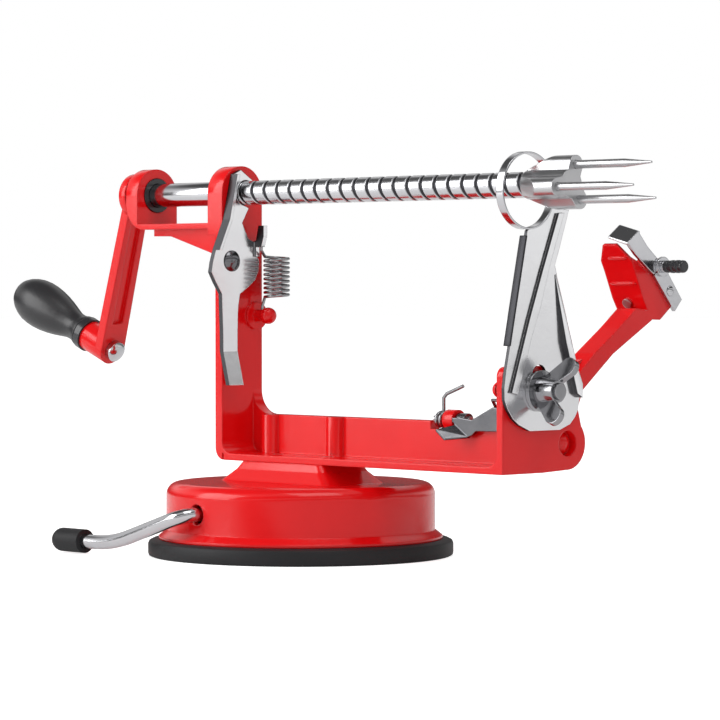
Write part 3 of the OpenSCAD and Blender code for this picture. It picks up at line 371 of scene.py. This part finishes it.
def groove_shade_mask(made):
    """1 in the groove, where shade is painted, 0 on the lands of the shaft's thread."""
    place = made.make("ShaderNodeTexCoord", {}, {}, "Object")
    from_axis = made.make("ShaderNodeVectorMath", {"operation": "SUBTRACT"},
                          {0: place, 1: (0, 0, SHAFT_H)})
    across = made.make("ShaderNodeVectorMath", {"operation": "MULTIPLY"},
                       {0: from_axis, 1: (0, 1, 1)})
    radius = made.make("ShaderNodeVectorMath", {"operation": "LENGTH"}, {0: across}, "Value")
    return made.make("ShaderNodeMapRange", {"interpolation_type": "SMOOTHSTEP"},
                     {"Value": radius, "From Min": SHAFT_R - 0.08 * MM, "From Max": SHAFT_R - 0.4 * MM})


def round_bar(radius, length, segments, edge, turn_axis, centre):
    """A round bar with rounded edges, turned from the upright by 90 degrees about an axis."""
    bar = bmesh.new()
    bmesh.ops.create_cone(bar, cap_ends=True, segments=segments, radius1=radius, radius2=radius,
                          depth=length)
    round_edges(bar, edge)
    bmesh.ops.rotate(bar, verts=bar.verts, matrix=Matrix.Rotation(math.pi / 2, 3, turn_axis))
    bmesh.ops.translate(bar, verts=bar.verts, vec=centre)
    return bar


# The bottom of the thread's groove is painted near black: painted shade in the groove, with more
# roughness.
rolled_chrome = with_painted_shade(coating("rolled_chrome", colour=(0.7, 0.7, 0.72), stain=(0.5, 0.5, 0.52), metal=1,
    roughness=0.18, spread=0.12, grain=240, depth=0.06 * MM, edge=0.2 * MM),
    groove_shade_mask, colour=(0.05, 0.05, 0.055), roughness=0.3)

thread = bmesh.new()
turns = math.ceil((shaft_high.x - GROOVE_START) / LEAD) + 2
land_and_groove = [(0, 0), (0.35, 0), (0.7, 0), (0.74, 0.36), (0.79, 0.55), (0.91, 0.55), (0.96, 0.36),
                   (1, 0)]
groove = outline(thread, [(GROOVE_START - LEAD + share * LEAD, 0, SHAFT_R - drop * MM)
                          for share, drop in land_and_groove])
bmesh.ops.spin(thread, geom=groove + thread.verts[:], cent=(0, 0, 0), axis=(1, 0, 0),
               dvec=(LEAD / TURN_STEPS, 0, 0), angle=math.tau * turns, steps=TURN_STEPS * turns)
bmesh.ops.remove_doubles(thread, verts=thread.verts, dist=SAME_POINT)
cut_away(thread, GROOVE_START, -1)
cut_away(thread, shaft_high.x, 1)
close_ends(thread)
bmesh.ops.translate(thread, verts=thread.verts, vec=(0, 0, SHAFT_H))
add_piece("threaded_shaft", thread, rolled_chrome, "shaft", "chrome", "feed_shaft")

plain_end = round_bar(SHAFT_R, GROOVE_START - shaft_low.x, segments=64, edge=0.3 * MM, turn_axis="Y",
                      centre=((GROOVE_START + shaft_low.x) / 2, 0, SHAFT_H))
add_piece("plain_shaft_end", plain_end, chrome, "shaft", "chrome")

# Ridges of the peeling head
# Two raised beads cast across the head's front face, under the same paint, that stiffen
# the thin wall behind the blade.
HEAD_TOP = Vector((0, 52.4, 100.95)) * MM
HEAD_FOOT = Vector((0, 61.5, 82.5)) * MM
BEAD_R = 0.6 * MM
BEAD_TIP = 0.2 * MM
BEAD_END = 0.8 * MM


def lathe(points, axis, steps):
    """A turned shape: the outline through the points, spun once round an axis."""
    turned = bmesh.new()
    rim = outline(turned, points)
    bmesh.ops.spin(turned, geom=rim + turned.verts[:], cent=(0, 0, 0), axis=axis, angle=math.tau,
                   steps=steps, use_merge=True)
    bmesh.ops.remove_doubles(turned, verts=turned.verts, dist=SAME_POINT)
    close_ends(turned)
    return turned


for name, share, start, end in (("upper_bead", 0.22, 85.5 * MM, 93.5 * MM),
                                ("lower_bead", 0.66, 83.2 * MM, 94 * MM)):
    bead = lathe([(start, 0, 0), (start + BEAD_TIP, 0, BEAD_R * 0.6), (start + BEAD_END, 0, BEAD_R),
                  (end - BEAD_END, 0, BEAD_R), (end - BEAD_TIP, 0, BEAD_R * 0.6), (end, 0, 0)],
                 axis=(1, 0, 0), steps=24)
    bmesh.ops.translate(bead, verts=bead.verts, vec=HEAD_TOP.lerp(HEAD_FOOT, share))
    add_piece(name, bead, red_paint, "peeler", "red_paint")

# Springs
# Three springs of drawn steel wire: the coil that pulls the feed lever to the shaft, the
# torsion spring of the peeling arm, and the small one on the latch's pin. Their points
# are in millimetres.
spring_wire = coating("spring_wire", colour=(0.42, 0.42, 0.43), stain=(0.26, 0.26, 0.27), metal=1,
    roughness=0.18, spread=0.1, grain=900, depth=0.04 * MM, edge=0.1 * MM)
CURL_STEPS = 28


def coil(centre, radius, turns, pitch, start, sense, along):
    """Points of the curls round an axis along X or Z, from an angle in degrees."""
    points = []
    for step in range(round(turns * CURL_STEPS) + 1):
        angle = math.radians(start) + sense * math.tau * step / CURL_STEPS
        rise = pitch * step / CURL_STEPS
        across, up = radius * math.cos(angle), radius * math.sin(angle)
        offset = (rise, across, up) if along == "X" else (across, up, rise)
        points.append([c + o for c, o in zip(centre, offset)])
    return points


def wire(name, points, radius, finish, body, slot, node):
    """A round wire through the points, given in millimetres, that stands for a CAD node."""
    line = bpy.data.curves.new(name, "CURVE")
    line.dimensions = "3D"
    line.bevel_depth = radius * MM
    line.bevel_resolution = 6
    line.use_fill_caps = True
    route = line.splines.new("POLY")
    route.points.add(len(points) - 1)
    for point, place in zip(route.points, points):
        point.co = (*[c * MM for c in place], 1)
    holder = bpy.data.objects.new(name, line)
    shape = bmesh.new()
    shape.from_mesh(holder.to_mesh())
    bpy.data.objects.remove(holder)
    bmesh.ops.remove_doubles(shape, verts=shape.verts, dist=TOUCHING)
    add_piece(name, shape, finish, body, slot, node)


def spring(name, points, radius, node):
    """A spring of the frame's, in place of its CAD node."""
    wire(name, points, radius, spring_wire, "stand", "steel", node)


spring("lever_coil", [[-25, 6, 80.02], [-25, 6, 81.1]]
       + coil((-21.5, 9.3, 84.2), radius=3.95, turns=9, pitch=1.5, start=217, sense=1, along="Z")
       + [[-23.8, 4.5, 99.8], [-23.8, 4.5, 100.88]], 0.5, "release_spring")
spring("arm_torsion_coil", [[84.73, 6, 52.38], [80.43, 6, 52.38]]
       + coil((79.83, 20.6, 39), radius=5, turns=3.5, pitch=1.65, start=180, sense=1, along="X")
       + [[86.48, 32.22, 51.75]], 0.6, "peeler_spring")
spring("latch_coil", [[65.7, 8.2, 56.4], [58.5, 8.2, 53.8], [57.2, 8.2, 52.5]]
       + coil((57.2, 6, 45.8), radius=2.2, turns=2, pitch=1.7, start=0, sense=-1, along="X"),
       0.6, "latch_spring")

# Suction lever
# A rod of chromed steel, bent cold: it lies across the housing, turns through an elbow
# outside it, and levels out in its cap. Its middle, between two webs, is set off as the
# cam for the pad. The sizes of this section are in millimetres.
ROD_R = 2.35
ROD_X = -2
ROD_H = 15
ROD_END_Y = 14.3
ELBOW_Y = -50
LEVEL_X = -35.94
LEVEL_H = 4.3
CAP_X = -54
CAM_R = 2
WEB_R = 3.9
CAM_THROW = 1.5
CAM_HALF = 7.2
WEB_T = 1.2
BEND_STEPS = 12


def bent(corners, reaches):
    """The points of a rod in millimetres. Each inner corner is rounded as far as its reach."""
    points = [Vector(corners[0])]
    for before, corner, after, reach in zip(corners, corners[1:], corners[2:], reaches):
        at = Vector(corner)
        start = at + reach * (Vector(before) - at).normalized()
        end = at + reach * (Vector(after) - at).normalized()
        for step in range(BEND_STEPS + 1):
            share = step / BEND_STEPS
            points.append(start.lerp(at, share).lerp(at.lerp(end, share), share))
    return [*points, Vector(corners[-1])]


rod_corners = [(ROD_X, -CAM_HALF, ROD_H), (ROD_X, ELBOW_Y, ROD_H), (LEVEL_X, ELBOW_Y, LEVEL_H),
               (CAP_X, ELBOW_Y, LEVEL_H)]
wire("bent_rod", bent(rod_corners, reaches=(6, 9)), ROD_R, chrome, "suction_lever", "chrome",
     "suction_lever")
for name, radius, low, high, drop in (
        ("rod_tail", ROD_R, CAM_HALF, ROD_END_Y, 0),
        ("cam_pin", CAM_R, -CAM_HALF, CAM_HALF, CAM_THROW),
        ("near_web", WEB_R, -CAM_HALF - WEB_T, -CAM_HALF, 0),
        ("far_web", WEB_R, CAM_HALF, CAM_HALF + WEB_T, 0)):
    bar = round_bar(radius * MM, (high - low) * MM, segments=40, edge=0.2 * MM, turn_axis="X",
                    centre=(ROD_X * MM, (low + high) / 2 * MM, (ROD_H - drop) * MM))
    add_piece(name, bar, chrome, "suction_lever", "chrome")

# Suction pad
# A disc of black rubber, with a rounded rim and two shallow steps towards the hub that
# the stem is moulded into.
rubber = coating("rubber", colour=(0.008, 0.008, 0.009), stain=(0.02, 0.02, 0.022), metal=0,
    roughness=0.55, spread=0.2, grain=900, depth=0.1 * MM, edge=0.5 * MM, gloss=0.3)
pad_low, pad_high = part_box("suction_pad")
pad_r = pad_high.x
pad = lathe([(0, 0, 0.4 * MM), (pad_r * 0.86, 0, 0.3 * MM), (pad_r * 0.88, 0, 0),
             (pad_r - 0.9 * MM, 0, 0), (pad_r - 0.25 * MM, 0, 0.3 * MM), (pad_r, 0, 1.1 * MM),
             (pad_r, 0, 4 * MM), (pad_r - 0.4 * MM, 0, 4.9 * MM), (pad_r - 1.4 * MM, 0, 5.4 * MM),
             (pad_r - 2.8 * MM, 0, 5.5 * MM), (15 * MM, 0, 5.5 * MM), (14.5 * MM, 0, pad_high.z),
             (6.9 * MM, 0, pad_high.z), (6.9 * MM, 0, 4.6 * MM), (0, 0, 4.6 * MM)],
            axis=(0, 0, 1), steps=120)
add_piece("rubber_foot", pad, rubber, "stand", "rubber", "suction_pad", smooth=35)
dress(rubber, "lever_cap")

# Grip
# A turned handle of dark satin plastic that spins on its axle: a narrow neck at the
# collar, a belly past the middle and a rounded end.
grip_plastic = coating("grip_plastic", colour=(0.016, 0.016, 0.018), stain=(0.028, 0.028, 0.03), metal=0,
    roughness=0.34, spread=0.1, grain=700, depth=0.08 * MM, edge=0.5 * MM)
black_plastic = coating("black_plastic", colour=(0.02, 0.02, 0.022), stain=(0.035, 0.035, 0.04), metal=0,
    roughness=0.22, spread=0.08, grain=500, depth=0.05 * MM, edge=0.4 * MM)
dress(black_plastic, "shaft_bush", "grip_collar")
CRANK_FACE = -79.5 * MM
CRANK_TURN = math.radians(7)
CRANK_SLANT = math.radians(23.3)
CRANK_L = 53.6 * MM / math.cos(CRANK_SLANT)
GRIP_FACE = -15.2 * MM
GRIP_L = 37 * MM
GRIP_R = 8.5 * MM
GRIP_SHAPE = [(0, 0.3), (0, 0.64), (0.008, 0.68), (0.03, 0.67), (0.06, 0.62), (0.1, 0.585), (0.15, 0.58),
              (0.2, 0.61), (0.28, 0.71), (0.36, 0.81), (0.45, 0.9), (0.54, 0.965), (0.62, 0.995),
              (0.69, 0.995), (0.76, 0.96), (0.82, 0.89), (0.88, 0.78), (0.93, 0.64), (0.965, 0.47),
              (0.99, 0.27), (1, 0)]
crank_place = (Matrix.Translation((CRANK_FACE, 0, SHAFT_H)) @ Matrix.Rotation(CRANK_TURN, 4, "X")
               @ Matrix.Rotation(CRANK_SLANT, 4, "Y"))


def along_x(shape, start, length, radius):
    """The points of an outline that is given in shares of a length and of a radius."""
    return [(start + share * length, 0, out * radius) for share, out in shape]


handle = lathe(along_x(GRIP_SHAPE, GRIP_FACE, -GRIP_L, GRIP_R), axis=(1, 0, 0), steps=72)
bmesh.ops.translate(handle, verts=handle.verts, vec=(0, 0, -CRANK_L))
bmesh.ops.transform(handle, verts=handle.verts, matrix=crank_place)
add_piece("turned_handle", handle, grip_plastic, "grip", "grip_plastic", "grip", smooth=50)

# Knob of the blade screw
# A short sleeve of black plastic on the screw that sets the peeler blade's tilt, with
# three turned grooves for the fingertips.
sleeve_low, sleeve_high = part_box("screw_sleeve")
sleeve_r = (sleeve_high.z - sleeve_low.z) / 2
sleeve_l = sleeve_high.x - sleeve_low.x
knob_shape = [(0, 0), (0, 0.8), (0.04, 0.92), (0.14, 0.95), (0.18, 0.78), (0.26, 0.78), (0.3, 0.98),
              (0.42, 1), (0.46, 0.82), (0.54, 0.82), (0.58, 1), (0.7, 1), (0.74, 0.82), (0.82, 0.82),
              (0.86, 0.98), (0.95, 0.94), (1, 0.8), (1, 0)]
knob = lathe(along_x(knob_shape, sleeve_low.x, sleeve_l, sleeve_r), axis=(1, 0, 0), steps=48)
bmesh.ops.translate(knob, verts=knob.verts, vec=(0, (sleeve_low.y + sleeve_high.y) / 2,
                                                 (sleeve_low.z + sleeve_high.z) / 2))
add_piece("grooved_sleeve", knob, black_plastic, "peeler", "black_plastic", "screw_sleeve", smooth=30)
